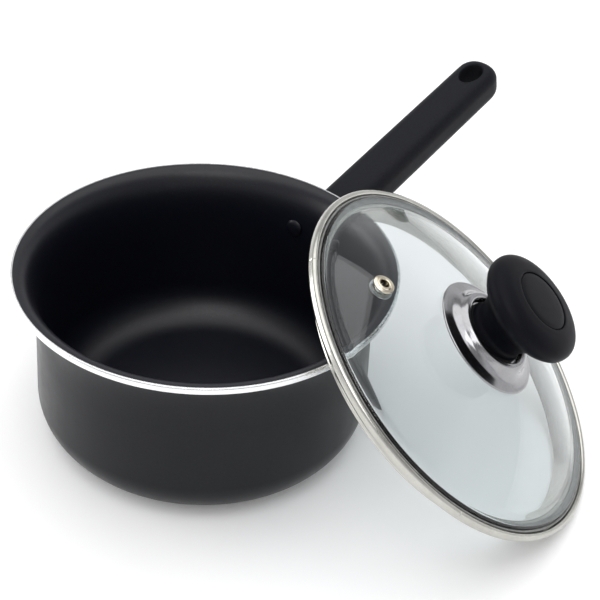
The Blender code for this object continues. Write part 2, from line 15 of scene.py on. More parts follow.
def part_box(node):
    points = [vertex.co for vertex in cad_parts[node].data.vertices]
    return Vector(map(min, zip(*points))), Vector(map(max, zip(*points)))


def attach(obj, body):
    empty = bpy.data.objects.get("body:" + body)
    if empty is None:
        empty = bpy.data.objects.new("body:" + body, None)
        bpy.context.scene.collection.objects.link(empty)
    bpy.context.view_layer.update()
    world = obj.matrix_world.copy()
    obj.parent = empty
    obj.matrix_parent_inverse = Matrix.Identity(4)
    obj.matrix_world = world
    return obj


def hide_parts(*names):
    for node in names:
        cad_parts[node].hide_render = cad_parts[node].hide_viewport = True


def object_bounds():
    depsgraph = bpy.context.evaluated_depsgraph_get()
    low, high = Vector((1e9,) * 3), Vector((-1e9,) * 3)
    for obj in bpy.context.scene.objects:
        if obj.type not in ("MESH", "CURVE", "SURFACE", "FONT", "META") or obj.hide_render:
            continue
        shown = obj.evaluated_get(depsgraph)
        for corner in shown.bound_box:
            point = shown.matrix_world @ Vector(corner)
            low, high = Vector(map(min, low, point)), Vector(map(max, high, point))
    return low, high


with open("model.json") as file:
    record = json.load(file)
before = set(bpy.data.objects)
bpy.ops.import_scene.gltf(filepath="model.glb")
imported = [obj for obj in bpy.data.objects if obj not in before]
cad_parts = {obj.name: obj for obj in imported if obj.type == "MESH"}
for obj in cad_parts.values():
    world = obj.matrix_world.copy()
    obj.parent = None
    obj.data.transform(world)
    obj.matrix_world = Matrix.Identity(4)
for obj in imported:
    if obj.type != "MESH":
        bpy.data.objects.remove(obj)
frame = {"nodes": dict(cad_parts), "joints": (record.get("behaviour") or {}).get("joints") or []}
cad_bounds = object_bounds()

RING_STEPS = 256
SMALL_RING_STEPS = 72
FILLET_STEPS = 5
SMOOTH_ANGLE = radians(38.0)
FLOW_STEPS = 6
MERGE_DISTANCE = 0.000001

# Pan.
EDGE_DROP = 0.0029
LIP_INSET = 0.0005
NECK_RADIUS = 0.0784
FOOT_RADIUS = 0.0794
WALL_THICKNESS = 0.0019
FLOOR_THICKNESS = 0.0026
CORNER_RADIUS = 0.0220
OUTER_FLARE_DEPTH = 0.0295
INNER_FLARE_DEPTH = 0.0300
FLARE_POWER = 2.6
INNER_FLARE_EXTENT = 0.985
FLARE_POINTS = 40
LIP_DROP = 0.00005
EDGE_STEP = 0.0001
RIVET_TILT = radians(4.2)

# Handle, in its own frame: X along it, Z through its thickness.
HANDLE_RISE = radians(15.2)
HANDLE_LENGTH = 0.1456
HANDLE_THICKNESS = 0.0198
HANDLE_HALF_ROOT = 0.01205
HANDLE_HALF_TIP = 0.0116
HANDLE_END_POWER = 2.3
HANDLE_TOP_ROUND = 0.0060
HANDLE_BOTTOM_ROUND = 0.0080
HANDLE_CROWN = 0.0007
HANDLE_WALL_CLEARANCE = 0.0041
HANGING_HOLE_X = 0.1315
HANGING_HOLE_HALF = (0.0078, 0.0054)
HANDLE_SCREW_X = 0.0180
HANDLE_SOCKET = (0.0303, 0.0078, 0.0033)
HANDLE_RUN_IN = 0.012
SOCKET_RUN_IN = 0.03
HOLE_MOUTH_ROUND = 0.0014
HOLE_MOUTH_WIDENING = 0.22
HOLE_CUT_MARGIN = 0.010
# The handle's root is cut to the pan's wall down from this height, in steps.
ROOT_CUT_TOP = 0.0840
ROOT_CUT_STEP = 0.002
ROOT_CUT_COUNT = 27
# Bores on the handle screw's axis as (radius, bottom, top): for its head, its insert and its shank.
HANDLE_BORES = ((0.0049, -0.020, -0.0063), (0.0033, 0.0, 0.0079), (0.0025, -0.0080, 0.0040))
HANDLE_SCREW_TOP = 0.0072
HANDLE_SCREW_SEAT = -0.0075
HANDLE_SCREW_HEAD_RADIUS = 0.0041
# Rings as (bore, radius, bottom, top).
HANDLE_WASHER = (0.0024, 0.0046, -0.0072, -0.0066)
HANDLE_INSERT = (0.0023, 0.0030, 0.0036, 0.0076)

# Rivets, with each head as (radius, height), and screws.
RIVET_OUTER_HEAD = (0.0036, 0.0014)
RIVET_INNER_HEAD = (0.0044, 0.0013)
RIVET_SHANK_RADIUS = 0.0024
RIVET_HEAD_SIDE = 0.0001
SCREW_SHANK_RADIUS = 0.0020
SCREW_HEAD_SIDE = 0.0010
SCREW_HEAD_DOME = 0.0016
THREAD_PITCH = 0.0007
THREAD_ROOT_SHARE = 0.84
RECESS_BAR_WIDTH = 0.0009
RECESS_DEPTH = 0.0018
RECESS_MIDDLE = 0.0024
RECESS_RADIUS_SHARE = 0.55

# Lid and knob.
BEAD_TOP = 0.0020
BEAD_WIDTH = 0.0030
BEAD_UPPER_MIDDLE = 0.0003
BEAD_LOWER_MIDDLE = -0.0009
WEB_TOP = -0.0018
WEB_BOTTOM = -0.0026
SKIRT_TOP_RADIUS = 0.0812
SKIRT_RADIUS = 0.0792
SKIRT_DEPTH = 0.0110
SKIRT_THICKNESS = 0.0008
SKIRT_HEM = 0.0012
GLASS_RADIUS = 0.0857
GLASS_FLAT_RADIUS = 0.0800
GLASS_THICKNESS = 0.0036
GLASS_CROWN = 0.0204
GLASS_EDGE_TOP = 0.0028
GLASS_HOLE_RADIUS = 0.0042
VENT_HOLE_RADIUS = 0.0033
DISH_FLOOR = 0.0224
DISH_THICKNESS = 0.0008
CAP_RADIUS = 0.0142
CAP_TOP = 0.0534
GAP = 0.0003
SEAL_TOP = 0.0014
SEAL_LEDGE_INSET = 0.0010
SEAL_LEDGE_THICKNESS = 0.0005
# The band's two butt joints, as angles about the lid's axis, and the nick at each.
BAND_JOINTS = (radians(-165.2), radians(-77.7))
NICK_ANGLE = radians(0.16)
NICK_INWARD = 0.00018
NICK_DOWN = 0.00015
VENT_WASHER_RADIUS = 0.0055
VENT_WASHER_THICKNESS = 0.0006
# Points (r, z) out along the steel dish's upper face, and back in along its lower face.
DISH_UPPER = ((0.0158, DISH_FLOOR), (0.0164, 0.0228), (0.0167, 0.0242), (0.0169, 0.0255),
              (0.0175, 0.0262), (0.0186, 0.0263), (0.0199, 0.0257), (0.0208, 0.0243),
              (0.0217, 0.0227), (0.0235, 0.0211), (0.0262, 0.0203), (0.0281, 0.0200))
DISH_LOWER = ((0.0281, 0.0189), (0.0262, 0.0193), (0.0235, 0.0200), (0.0210, 0.0218),
              (0.0199, 0.0237), (0.0190, 0.0249), (0.0183, 0.0254), (0.0178, 0.0250),
              (0.0175, 0.0238), (0.0172, 0.0222), (0.0164, DISH_FLOOR - DISH_THICKNESS))
DISH_BORE_RADIUS = 0.0045
# Points (r, z) down the knob's side, from its flat top to its neck.
KNOB_SIDE = ((0.0165, 0.0528), (0.0205, 0.0521), (0.0240, 0.0507), (0.0260, 0.0487),
             (0.0266, 0.0462), (0.0260, 0.0434), (0.0232, 0.0404), (0.0190, 0.0374),
             (0.0156, 0.0332), (0.0140, 0.0286), (0.0144, 0.0262))
KNOB_FOOT_RADIUS = 0.0153
KNOB_BORE_TOP = 0.0362
CAP_SEAT_DEPTH = 0.0022
CAP_THICKNESS = 0.0019
KNOB_SEAL_THICKNESS = 0.0008
KNOB_WASHER_THICKNESS = 0.0010
KNOB_SCREW_TOP = 0.0340
KNOB_SCREW_HEAD_RADIUS = 0.0042

# Materials: how much the angle counts in a turned surface's noise, and how coarse a mottle is.
ANGLE_SHARE = 0.02
MOTTLE_SCALE = 60.0

# Camera, in the row frame: where it stands, and how it is turned.
CAMERA_PLACE = Vector((-0.3967, -0.3696, 0.4739))
CAMERA_AZIMUTH = radians(38.32)
CAMERA_PITCH = radians(36.69)
CAMERA_ROLL = radians(3.94)
CAMERA_LENS = 87.0

# Studio: each softbox as (name, place, width, height, power), and the walls' grey by height.
LIGHT_TARGET = (0.04, -0.04, 0.04)
SOFTBOXES = (
    ("key_softbox", (-1.05, -0.75, 2.00), 1.3, 1.3, 13.0),
    ("top_softbox", (0.35, 0.2, 2.0), 2.8, 2.8, 33.0),
    ("left_softbox", (-0.7, 1.3, 0.45), 1.2, 0.8, 9.0),
)
WALL_GREYS = ((0.0, 0.80), (0.30, 0.85), (0.48, 0.40), (0.80, 0.46), (1.0, 0.62))
WALL_BLUE = 1.02
FLOOR_REACH = 6.0
FLOOR_DROP = 0.0002
# How the floor glows: near and far strength, and where the change starts and ends.
FLOOR_GLOW = (0.08, 0.30, 0.8, 3.5)


# ---------------------------------------------------------------- places read from the frame

def reach(node, direction):
    """How far a CAD node reaches along a direction."""
    return max(vertex.co.dot(direction) for vertex in frame["nodes"][node].data.vertices)


def middle(node):
    vertices = frame["nodes"][node].data.vertices
    return sum((vertex.co for vertex in vertices), Vector()) / len(vertices)


def frame_matrix(origin, x_axis, z_axis):
    y_axis = z_axis.cross(x_axis)
    matrix = Matrix((x_axis, y_axis, z_axis)).transposed().to_4x4()
    matrix.translation = origin
    return matrix


def lid_matrix():
    """The lid's own frame at rest, from its joint and from where its steel band lies."""
    joint = frame["joints"][0]
    tilt = radians(joint["range_deg"][1])
    turn = Matrix.Rotation(-tilt, 3, Vector(joint["axis"]))
    up = turn @ Vector((0.0, 0.0, 1.0))
    across = -Vector(joint["axis"])
    down_slope = across.cross(up)
    origin = Vector()
    for axis in (down_slope, across):
        origin += axis * (reach("lid_rim", axis) - reach("lid_rim", -axis)) / 2.0
    origin += up * (reach("lid_rim", up) - BEAD_TOP)
    return frame_matrix(origin, down_slope, up)


def handle_matrix():
    along = Vector((cos(HANDLE_RISE), 0.0, sin(HANDLE_RISE)))
    up = Vector((-sin(HANDLE_RISE), 0.0, cos(HANDLE_RISE)))
    origin = along * (reach("handle", along) - HANDLE_LENGTH)
    origin += up * (reach("handle", up) - HANDLE_THICKNESS / 2.0)
    return frame_matrix(origin, along, up)


def rivet_matrix(node):
    """The rivet's own frame: Z out of the wall, and Z = 0 at the top of its outer head."""
    centre = middle(node)
    azimuth = atan2(centre.y, centre.x)
    out = Vector((cos(azimuth) * cos(RIVET_TILT), sin(azimuth) * cos(RIVET_TILT), -sin(RIVET_TILT)))
    down = Vector((-cos(azimuth) * sin(RIVET_TILT), -sin(azimuth) * sin(RIVET_TILT), -cos(RIVET_TILT)))
    origin = centre + out * (reach(node, out) - centre.dot(out))
    return frame_matrix(origin, down, out)


def dome_radius():
    rise = GLASS_CROWN - GLASS_EDGE_TOP
    return (GLASS_FLAT_RADIUS ** 2 + rise ** 2) / (2.0 * rise)


def vent_matrix(lid):
    """The vent's own frame: Z along the glass's normal there, and Z = 0 on its upper face."""
    dome_centre = Vector((0.0, 0.0, GLASS_CROWN - dome_radius()))
    washer = lid.inverted() @ middle("vent_washer")
    normal = (washer - dome_centre).normalized()
    x_axis = Vector((0.0, 1.0, 0.0)).cross(normal).normalized()
    return lid @ frame_matrix(dome_centre + normal * dome_radius(), x_axis, normal)


# ---------------------------------------------------------------- mesh helpers

def arc(centre, radii, start, end, count):
    """Points (r, z) on an ellipse about centre, between two angles in degrees."""
    points = []
    for i in range(count):
        angle = radians(start + (end - start) * i / (count - 1))
        points.append((centre[0] + radii[0] * cos(angle), centre[1] + radii[1] * sin(angle)))
    return points


def fillet(before, corner, after, radius):
    """Points of the round that replaces a corner between two straight lines."""
    p = Vector(corner)
    a = Vector(before) - p
    b = Vector(after) - p
    half = a.angle(b) / 2.0
    if half > radians(88.0) or radius <= 0.0:
        return [tuple(p)]
    run = min(radius / tan(half), 0.49 * a.length, 0.49 * b.length)
    radius = run * tan(half)
    a.normalize()
    b.normalize()
    centre = p + (a + b).normalized() * (radius / sin(half))
    first = p + a * run - centre
    last = p + b * run - centre
    points = []
    for i in range(FILLET_STEPS + 1):
        share = i / FILLET_STEPS
        points.append(tuple(centre + first.slerp(last, share) * radius))
    return points


def rounded(corners, closed=False):
    """An outline from (r, z, fillet radius) corners."""
    points = []
    count = len(corners)
    for i, (r, z, radius) in enumerate(corners):
        if not closed and i in (0, count - 1):
            points.append((r, z))
        else:
            before = corners[i - 1][:2]
            after = corners[(i + 1) % count][:2]
            points += fillet(before, (r, z), after, radius)
    return points


def flowing(points):
    """A smooth line through points, as a Catmull-Rom curve."""
    line = [2.0 * Vector(points[0]) - Vector(points[1])]
    line += [Vector(p) for p in points]
    line.append(2.0 * line[-1] - line[-2])
    result = []
    for i in range(1, len(line) - 2):
        a, b, c, d = line[i - 1:i + 3]
        for k in range(FLOW_STEPS):
            t = k / FLOW_STEPS
            point = b + (c - a) * (t / 2.0) + (a * 2.0 - b * 5.0 + c * 4.0 - d) * (t * t / 2.0)
            point += (b * 3.0 - a - c * 3.0 + d) * (t ** 3 / 2.0)
            result.append(tuple(point))
    result.append(tuple(points[-1]))
    return result


def new_piece(name, shape, materials, body, nodes, matrix=None):
    """Turn a bmesh into a piece of the object that rides on a body and replaces CAD nodes."""
    mesh = bpy.data.meshes.new(name)
    shape.to_mesh(mesh)
    shape.free()
    mesh.shade_smooth()
    mesh.set_sharp_from_angle(angle=SMOOTH_ANGLE)
    piece = bpy.data.objects.new(name, mesh)
    bpy.context.scene.collection.objects.link(piece)
    for material in materials:
        mesh.materials.append(material)
    if matrix is not None:
        piece.matrix_world = matrix
    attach(piece, body)
    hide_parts(*nodes)
    return piece


def lathe(strips, steps=RING_STEPS, closed=False, angles=None, shift=None):
    """A bmesh turned about Z from strips of (r, z) points. Strip n gets material n.

    shift(angle, r, z) may move each point: it returns a new (r, z).
    """
    shape = bmesh.new()
    if angles is None:
        angles = [2.0 * pi * k / steps for k in range(steps)]
    profile = []
    owner = []
    for index, strip in enumerate(strips):
        for point in strip:
            if profile and (Vector(point) - Vector(profile[-1])).length < MERGE_DISTANCE:
                continue
            profile.append(point)
            owner.append(index)
    if closed and (Vector(profile[0]) - Vector(profile[-1])).length < MERGE_DISTANCE:
        profile.pop()
        owner.pop()
    rings = []
    for r, z in profile:
        if r < MERGE_DISTANCE:
            rings.append([shape.verts.new((0.0, 0.0, z))] * len(angles))
            continue
        ring = []
        for angle in angles:
            radius, height = shift(angle, r, z) if shift else (r, z)
            ring.append(shape.verts.new((radius * cos(angle), radius * sin(angle), height)))
        rings.append(ring)
    pairs = list(zip(range(len(rings) - 1), range(1, len(rings))))
    if closed:
        pairs.append((len(rings) - 1, 0))
    for upper, lower in pairs:
        for k in range(len(angles)):
            after = (k + 1) % len(angles)
            corners = [rings[upper][k], rings[upper][after], rings[lower][after], rings[lower][k]]
            corners = [v for i, v in enumerate(corners) if v not in corners[:i]]
            if len(corners) > 2:
                face = shape.faces.new(corners)
                face.material_index = owner[lower] if lower else owner[-1]
    bmesh.ops.recalc_face_normals(shape, faces=shape.faces)
    return shape


def cutter(shape, matrix):
    mesh = bpy.data.meshes.new("cutter")
    shape.to_mesh(mesh)
    shape.free()
    tool = bpy.data.objects.new("cutter", mesh)
    tool.matrix_world = matrix
    bpy.context.scene.collection.objects.link(tool)
    return tool


def cut(piece, tools):
    """Cut the tools out of a piece for good, and remove them."""
    for tool in tools:
        modifier = piece.modifiers.new("cut", "BOOLEAN")
        modifier.operation = "DIFFERENCE"
        modifier.object = tool
    bpy.context.view_layer.update()
    depsgraph = bpy.context.evaluated_depsgraph_get()
    mesh = bpy.data.meshes.new_from_object(piece.evaluated_get(depsgraph))
    piece.modifiers.clear()
    piece.data = mesh
    for tool in tools:
        bpy.data.objects.remove(tool, do_unlink=True)
    mesh.shade_smooth()
    mesh.set_sharp_from_angle(angle=SMOOTH_ANGLE)


def rod(radius, bottom, top):
    return lathe([[(0.0, top), (radius, top), (radius, bottom), (0.0, bottom)]], SMALL_RING_STEPS)


def block(size, centre):
    shape = bmesh.new()
    matrix = Matrix.Translation(centre) @ Matrix.Diagonal((*size, 1.0))
    bmesh.ops.create_cube(shape, size=1.0, matrix=matrix)
    return shape


# ---------------------------------------------------------------- materials

class Finish:
    """A Principled material whose colour, roughness and bump come from procedural nodes."""

    def __init__(self, name, metallic=0.0, refraction=1.45):
        self.material = bpy.data.materials.new(name)
        self.material.use_nodes = True
        self.nodes = self.material.node_tree.nodes
        self.links = self.material.node_tree.links
        self.shader = self.nodes["Principled BSDF"]
        self.shader.inputs["Metallic"].default_value = metallic
        self.shader.inputs["IOR"].default_value = refraction
        self.position = self.nodes.new("ShaderNodeTexCoord").outputs["Object"]

    def math(self, operation, *values):
        node = self.nodes.new("ShaderNodeMath")
        node.operation = operation
        for socket, value in zip(node.inputs, values):
            if isinstance(value, (int, float)):
                socket.default_value = value
            else:
                self.links.new(value, socket)
        return node.outputs[0]

    def turned_position(self):
        """A vector of the distance from Z, the height, and a little of the angle about Z."""
        split = self.nodes.new("ShaderNodeSeparateXYZ")
        self.links.new(self.position, split.inputs[0])
        x, y, z = split.outputs
        radius = self.math("SQRT", self.math("ADD", self.math("MULTIPLY", x, x),
                                             self.math("MULTIPLY", y, y)))
        angle = self.math("MULTIPLY", self.math("ARCTAN2", y, x), ANGLE_SHARE)
        join = self.nodes.new("ShaderNodeCombineXYZ")
        self.links.new(radius, join.inputs[0])
        self.links.new(z, join.inputs[1])
        self.links.new(angle, join.inputs[2])
        return join.outputs[0]

    def noise(self, scale, detail=3.0, vector=None, roughness=0.55):
        node = self.nodes.new("ShaderNodeTexNoise")
        node.inputs["Scale"].default_value = scale
        node.inputs["Detail"].default_value = detail
        node.inputs["Roughness"].default_value = roughness
        self.links.new(vector or self.position, node.inputs["Vector"])
        return node.outputs["Fac"]

    def spread(self, value, low, high, start=0.3, end=0.7):
        """Stretch a value from start..end to low..high."""
        node = self.nodes.new("ShaderNodeMapRange")
        self.links.new(value, node.inputs["Value"])
        node.inputs["From Min"].default_value = start
        node.inputs["From Max"].default_value = end
        node.inputs["To Min"].default_value = low
        node.inputs["To Max"].default_value = high
        return node.outputs["Result"]

    def colour(self, first, second, share):
        node = self.nodes.new("ShaderNodeMix")
        node.data_type = "RGBA"
        self.links.new(share, node.inputs["Factor"])
        for socket in node.inputs:
            if socket.type == "RGBA" and socket.name in ("A", "B"):
                socket.default_value = (*(first if socket.name == "A" else second), 1.0)
        output = [socket for socket in node.outputs if socket.type == "RGBA"][0]
        self.links.new(output, self.shader.inputs["Base Color"])

    def rough(self, value):
        self.links.new(value, self.shader.inputs["Roughness"])

    def bump(self, height, depth):
        node = self.nodes.new("ShaderNodeBump")
        node.inputs["Strength"].default_value = 1.0
        node.inputs["Distance"].default_value = depth
        self.links.new(height, node.inputs["Height"])
        self.links.new(node.outputs["Normal"], self.shader.inputs["Normal"])


def grained(name, dark, light, grain, roughness, depth, refraction=1.45):
    """A moulded, enamelled or cast surface: fine grain with a slow mottle under it."""
    finish = Finish(name, 0.0, refraction)
    fine = finish.noise(grain, 2.0)
    slow = finish.noise(MOTTLE_SCALE, 3.0)
    finish.colour(dark, light, finish.spread(finish.math("ADD", finish.math("MULTIPLY", fine, 0.7),
                                                         finish.math("MULTIPLY", slow, 0.3)), 0.0, 1.0))
    finish.rough(finish.spread(slow, roughness - 0.05, roughness + 0.05))
    finish.bump(fine, depth)
    return finish.material


def turned_metal(name, dark, light, lines, roughness, depth, spread=0.04):
    """Metal that was spun or turned, with fine lines round its axis."""
    finish = Finish(name, 1.0)
    ring = finish.noise(lines, 3.0, finish.turned_position(), 0.7)
    smear = finish.noise(90.0, 3.0)
    finish.colour(dark, light, finish.spread(finish.math("ADD", finish.math("MULTIPLY", ring, 0.5),
                                                         finish.math("MULTIPLY", smear, 0.5)), 0.0, 1.0))
    finish.rough(finish.spread(ring, roughness - spread, roughness + spread))
    finish.bump(ring, depth)
    return finish.material


def non_stick_material():
    """Black non-stick coating with fine bright flecks in it."""
    finish = Finish("non_stick", 0.0, 1.43)
    cells = finish.nodes.new("ShaderNodeTexVoronoi")
    cells.inputs["Scale"].default_value = 1500.0
    finish.links.new(finish.position, cells.inputs["Vector"])
    fleck = finish.spread(cells.outputs["Distance"], 1.0, 0.0, 0.06, 0.30)
    some = finish.spread(finish.noise(800.0, 1.0), 0.0, 1.0, 0.50, 0.62)
    finish.colour((0.0022, 0.0027, 0.0066), (0.030, 0.030, 0.032), finish.math("MULTIPLY", fleck, some))
    orange_peel = finish.noise(950.0, 2.0)
    finish.rough(finish.spread(orange_peel, 0.34, 0.44))
    finish.bump(orange_peel, 0.00003)
    return finish.material


def glass_material():
    """Clear tempered glass, faintly grey, that lets lamps through."""
    finish = Finish("lid_glass_clear", 0.0, 1.50)
    slow = finish.noise(28.0, 2.0)
    finish.colour((0.772, 0.820, 0.828), (0.792, 0.838, 0.844), finish.spread(slow, 0.0, 1.0))
    finish.rough(finish.spread(slow, 0.0, 0.012))
    finish.bump(slow, 0.00006)
    finish.shader.inputs["Transmission Weight"].default_value = 1.0
    clear = finish.nodes.new("ShaderNodeBsdfTransparent")
    clear.inputs["Color"].default_value = (0.93, 0.95, 0.95, 1.0)
    path = finish.nodes.new("ShaderNodeLightPath")
    mix = finish.nodes.new("ShaderNodeMixShader")
    finish.links.new(path.outputs["Is Shadow Ray"], mix.inputs[0])
    finish.links.new(finish.shader.outputs[0], mix.inputs[1])
    finish.links.new(clear.outputs[0], mix.inputs[2])
    output = finish.nodes["Material Output"]
    finish.links.new(mix.outputs[0], output.inputs["Surface"])
    return finish.material


def floor_material():
    """Pale card that glows a little more far out, to meet the studio's wall without a line."""
    finish = Finish("pale_floor")
    slow = finish.noise(3.0, 3.0)
    finish.colour((0.93, 0.93, 0.93), (0.96, 0.96, 0.96), finish.spread(slow, 0.0, 1.0))
    finish.rough(finish.spread(slow, 0.65, 0.75))
    distance = finish.nodes.new("ShaderNodeVectorMath")
    distance.operation = "LENGTH"
    finish.links.new(finish.position, distance.inputs[0])
    glow = finish.spread(distance.outputs["Value"], *FLOOR_GLOW)
    finish.links.new(glow, finish.shader.inputs["Emission Strength"])
    return finish.material


def make_materials():
    return {
        "enamel": grained("charcoal_enamel", (0.0040, 0.0047, 0.0060), (0.0080, 0.0090, 0.0108),
                          900.0, 0.34, 0.000012, 1.29),
        "non_stick": non_stick_material(),
        "edge": turned_metal("machined_aluminium", (0.84, 0.85, 0.86), (0.96, 0.96, 0.96),
                             2500.0, 0.26, 0.00001),
        "phenolic": grained("handle_phenolic", (0.0080, 0.0085, 0.0110), (0.0132, 0.0138, 0.0170),
                            1100.0, 0.46, 0.00002, 1.16),
        "soft_touch": grained("knob_soft_touch", (0.0018, 0.0020, 0.0038), (0.0040, 0.0044, 0.0072),
                              1500.0, 0.48, 0.00002, 1.19),
        "cap": grained("knob_cap_plastic", (0.0014, 0.0016, 0.0032), (0.0036, 0.0040, 0.0064),
                       1300.0, 0.44, 0.000015, 1.18),
        "band": turned_metal("polished_band", (0.45, 0.445, 0.41), (0.60, 0.595, 0.55),
                             1800.0, 0.22, 0.000006),
        "mirror": turned_metal("mirror_steel", (0.29, 0.29, 0.30), (0.40, 0.40, 0.41),
                               1200.0, 0.17, 0.000002),
        "steel": turned_metal("plain_steel", (0.46, 0.46, 0.47), (0.62, 0.62, 0.63),
                              1600.0, 0.32, 0.00001),
        "nickel": turned_metal("warm_nickel", (0.74, 0.66, 0.50), (0.86, 0.79, 0.64),
                               1400.0, 0.15, 0.000004, 0.03),
        "brass": turned_metal("turned_brass", (0.66, 0.47, 0.20), (0.80, 0.62, 0.32),
                              2200.0, 0.30, 0.00001),
        "seal": grained("pale_seal", (0.140, 0.142, 0.136), (0.280, 0.282, 0.272), 500.0, 0.50, 0.00002),
        "silicone": grained("grey_silicone", (0.30, 0.30, 0.29), (0.40, 0.40, 0.39),
                            500.0, 0.55, 0.00002),
        "glass": glass_material(),
    }


# ---------------------------------------------------------------- pan and handle

def outer_wall_radius(z, height, edge_radius):
    flare_foot = height - EDGE_DROP - OUTER_FLARE_DEPTH
    if z <= flare_foot:
        share = (z - CORNER_RADIUS) / (flare_foot - CORNER_RADIUS)
        return FOOT_RADIUS + (NECK_RADIUS - FOOT_RADIUS) * share
    rise = (z - flare_foot) / OUTER_FLARE_DEPTH
    inward = max(0.0, 1.0 - rise ** FLARE_POWER) ** (1.0 / FLARE_POWER)
    return edge_radius - (edge_radius - NECK_RADIUS) * inward


def flare(neck, lip, top, depth, count, extent=1.0):
    """Points (r, z) up a flare, from the upright wall at its neck to its flat lip."""
    points = []
    for i in range(count):
        angle = extent * pi / 2.0 * i / (count - 1)
        inward = max(0.0, cos(angle)) ** (2.0 / FLARE_POWER)
        upward = sin(angle) ** (2.0 / FLARE_POWER)
        points.append((lip - (lip - neck) * inward, top - depth * (1.0 - upward)))
    return points


def make_pan(materials):
    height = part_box("pan_body")[1].z
    edge_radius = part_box("pan_body")[1].x
    lip_radius = edge_radius - LIP_INSET
    lip_height = height - LIP_DROP
    band_radius = edge_radius - EDGE_STEP
    band_foot = height - EDGE_DROP
    inner_neck = NECK_RADIUS - WALL_THICKNESS
    inner_foot = FOOT_RADIUS - WALL_THICKNESS
    inner_corner = CORNER_RADIUS - WALL_THICKNESS
    inside = [(0.0, FLOOR_THICKNESS), (0.020, FLOOR_THICKNESS), (0.040, FLOOR_THICKNESS)]
    inside += arc((inner_foot - inner_corner, FLOOR_THICKNESS + inner_corner),
                  (inner_corner, inner_corner), -90, 0, 22)
    inside += flare(inner_neck, lip_radius, lip_height, INNER_FLARE_DEPTH, FLARE_POINTS,
                    INNER_FLARE_EXTENT)
    band = rounded([inside[-1] + (0.0,), (lip_radius + 0.00015, lip_height, 0.0002),
                    (edge_radius, height - 0.0006, 0.0003), (edge_radius, band_foot + 0.0003, 0.0002),
                    (band_radius, band_foot, 0.0)])
    under_edge = flare(NECK_RADIUS, band_radius, band_foot, OUTER_FLARE_DEPTH, FLARE_POINTS)
    outside = list(reversed(under_edge))
    outside += arc((FOOT_RADIUS - CORNER_RADIUS, CORNER_RADIUS),
                   (CORNER_RADIUS, CORNER_RADIUS), 0, -90, 24)
    outside.append((0.0, 0.0))
    shape = lathe([inside, band, outside])
    finishes = [materials["non_stick"], materials["edge"], materials["enamel"]]
    new_piece("pan_shell", shape, finishes, "pan", ["pan_body"])


def make_rivets(materials):
    for side in ("left", "right"):
        node = "rivet_" + side
        matrix = rivet_matrix(node)
        along = matrix.to_3x3().col[2]
        length = reach(node, along) + reach(node, -along)
        outer_radius, outer_head = RIVET_OUTER_HEAD
        inner_radius, inner_head = RIVET_INNER_HEAD
        outer_seat = -outer_head - RIVET_HEAD_SIDE
        inner_seat = inner_head - length + RIVET_HEAD_SIDE
        profile = arc((0.0, -outer_head), RIVET_OUTER_HEAD, 90, 0, 10)
        profile += [(outer_radius, outer_seat), (RIVET_SHANK_RADIUS, outer_seat)]
        profile += [(RIVET_SHANK_RADIUS, inner_seat), (inner_radius, inner_seat)]
        profile += arc((0.0, inner_head - length), RIVET_INNER_HEAD, 0, -90, 12)
        new_piece(node + "_domed", lathe([profile], SMALL_RING_STEPS), [materials["non_stick"]], "pan",
                  [node], matrix)


def handle_loop(inset):
    """Plan of the handle at an inset from its edge: out along +Y, round the end, back along -Y."""
    end = HANDLE_LENGTH - HANDLE_HALF_TIP
    half = []
    for i in range(16):
        share = i / 16
        x = -HANDLE_RUN_IN + (end + HANDLE_RUN_IN) * share
        width = HANDLE_HALF_ROOT + (HANDLE_HALF_TIP - HANDLE_HALF_ROOT) * share
        half.append((x, max(width * (1.0 - inset / HANDLE_HALF_TIP), 0.0)))
    for i in range(17):
        angle = pi / 2.0 * (1.0 - i / 16.0)
        reach_out = HANDLE_HALF_TIP - inset
        x = end + reach_out * max(cos(angle), 0.0) ** (2.0 / HANDLE_END_POWER)
        half.append((x, reach_out * max(sin(angle), 0.0) ** (2.0 / HANDLE_END_POWER)))
    return half + [(x, -y) for x, y in reversed(half[:-1])]


def handle_levels():
    """(inset, height) down the handle's section, from the middle of its top to that of its bottom."""
    half = HANDLE_THICKNESS / 2.0
    levels = []
    for i in range(7):
        inset = HANDLE_HALF_TIP - (HANDLE_HALF_TIP - HANDLE_TOP_ROUND) * i / 6.0
        levels.append((inset, half - HANDLE_CROWN * (1.0 - inset / HANDLE_HALF_TIP) ** 2))
    for i in range(1, 11):
        angle = pi / 2.0 * i / 10.0
        inset = HANDLE_TOP_ROUND * (1.0 - sin(angle))
        crown = HANDLE_CROWN * (1.0 - inset / HANDLE_HALF_TIP) ** 2
        levels.append((inset, half - crown - HANDLE_TOP_ROUND * (1.0 - cos(angle))))
    for i in range(11):
        angle = pi / 2.0 * i / 10.0
        inset = HANDLE_BOTTOM_ROUND * (1.0 - cos(angle))
        levels.append((inset, -half + HANDLE_BOTTOM_ROUND * (1.0 - sin(angle))))
    levels.append((HANDLE_HALF_TIP, -half))
    return levels


def hole_cutter_shape():
    """An oval post that widens at both faces of the handle, to leave rounded edges."""
    half = HANDLE_THICKNESS / 2.0
    widest = 1.0 + HOLE_MOUTH_WIDENING
    mouth = arc((widest, half - HOLE_MOUTH_ROUND), (HOLE_MOUTH_WIDENING, HOLE_MOUTH_ROUND), 90, 180, 7)
    profile = [(0.0, half + HOLE_CUT_MARGIN), (widest, half + HOLE_CUT_MARGIN)]
    profile += mouth + [(r, -z) for r, z in reversed(mouth)]
    profile += [(widest, -half - HOLE_CUT_MARGIN), (0.0, -half - HOLE_CUT_MARGIN)]
    shape = lathe([profile], SMALL_RING_STEPS)
    bmesh.ops.transform(shape, matrix=Matrix.Diagonal((*HANGING_HOLE_HALF, 1.0, 1.0)), verts=shape.verts)
    return shape


